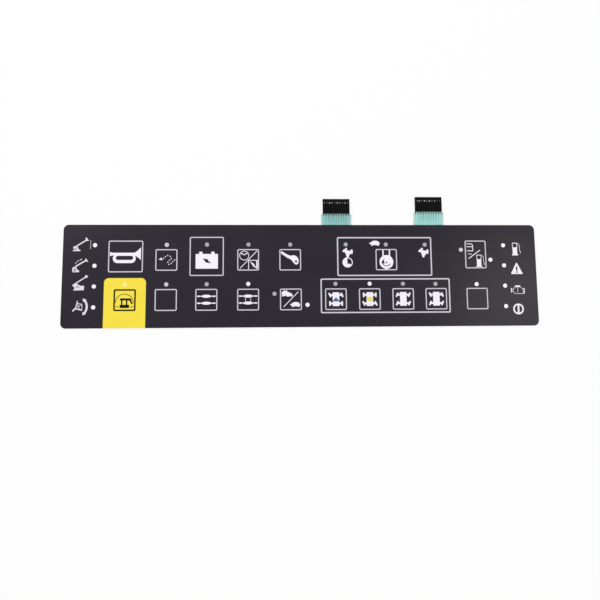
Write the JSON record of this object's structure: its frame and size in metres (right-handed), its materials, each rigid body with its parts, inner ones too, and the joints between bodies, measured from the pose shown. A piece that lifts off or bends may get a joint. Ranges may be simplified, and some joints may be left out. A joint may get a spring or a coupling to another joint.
{
  "type": "membrane keypad",
  "caption": "Flat printed membrane keypad with snap-dome keys, indicator windows and flat circuit tails that end in crimp connectors.",
  "frame": {"origin": "middle of the panel's rear face", "axes": "+X along the panel, +Y towards the tails, +Z out of the printed face"},
  "size_m": [0.46, 0.128, 0.0032],
  "materials": {
    "overlay_film": "satin",
    "yellow_ink": "satin",
    "white_ink": "satin",
    "black_ink": "satin",
    "blue_ink": "satin",
    "pale_yellow_ink": "satin",
    "window_white": "satin",
    "window_pale": "satin",
    "window_grey": "satin",
    "window_yellow": "satin",
    "adhesive": "tacky",
    "spacer_film": "satin",
    "spring_steel": "bright rolled",
    "chip_light": "gloss",
    "circuit_film": "gloss",
    "silver_ink": "matt",
    "tail_coat": "semi-gloss",
    "housing_plastic": "fine matt",
    "contact_metal": "tin plated",
    "liner_paper": "smooth"
  },
  "bodies": {
    "root": {"graphic_overlay": "overlay_film", "yellow_field": "yellow_ink", "white_frames": "white_ink", "black_frame": "black_ink", "signs_left": "white_ink", "signs_upper": "white_ink", "signs_lower": "white_ink", "signs_right": "white_ink", "sign_black": "black_ink", "accent_blue": "blue_ink", "accent_yellow": "pale_yellow_ink", "windows_white": "window_white", "windows_pale": "window_pale", "windows_grey": "window_grey", "windows_yellow": "window_yellow", "overlay_adhesive": "adhesive", "spacer": "spacer_film", "dome_horn": "spring_steel", "dome_reach": "spring_steel", "dome_battery": "spring_steel", "dome_generator": "spring_steel", "dome_ignition": "spring_steel", "dome_engine": "spring_steel", "dome_fuel": "spring_steel", "dome_bypass": "spring_steel", "dome_spare_left": "spring_steel", "dome_axle": "spring_steel", "dome_axle_lock": "spring_steel", "dome_speed": "spring_steel", "dome_steer_front": "spring_steel", "dome_steer_round": "spring_steel", "dome_steer_crab": "spring_steel", "dome_steer_rear": "spring_steel", "dome_spare_right": "spring_steel", "lights_left": "chip_light", "lights_upper": "chip_light", "lights_lower": "chip_light", "lights_right": "chip_light", "circuit_film": "circuit_film", "silver_circuit": "silver_ink", "coat_left": "tail_coat", "coat_right": "tail_coat", "housing_left": "housing_plastic", "housing_right": "housing_plastic", "contacts_left": "contact_metal", "contacts_right": "contact_metal", "rear_adhesive": "adhesive", "release_liner": "liner_paper"}
  },
  "joints": []
}
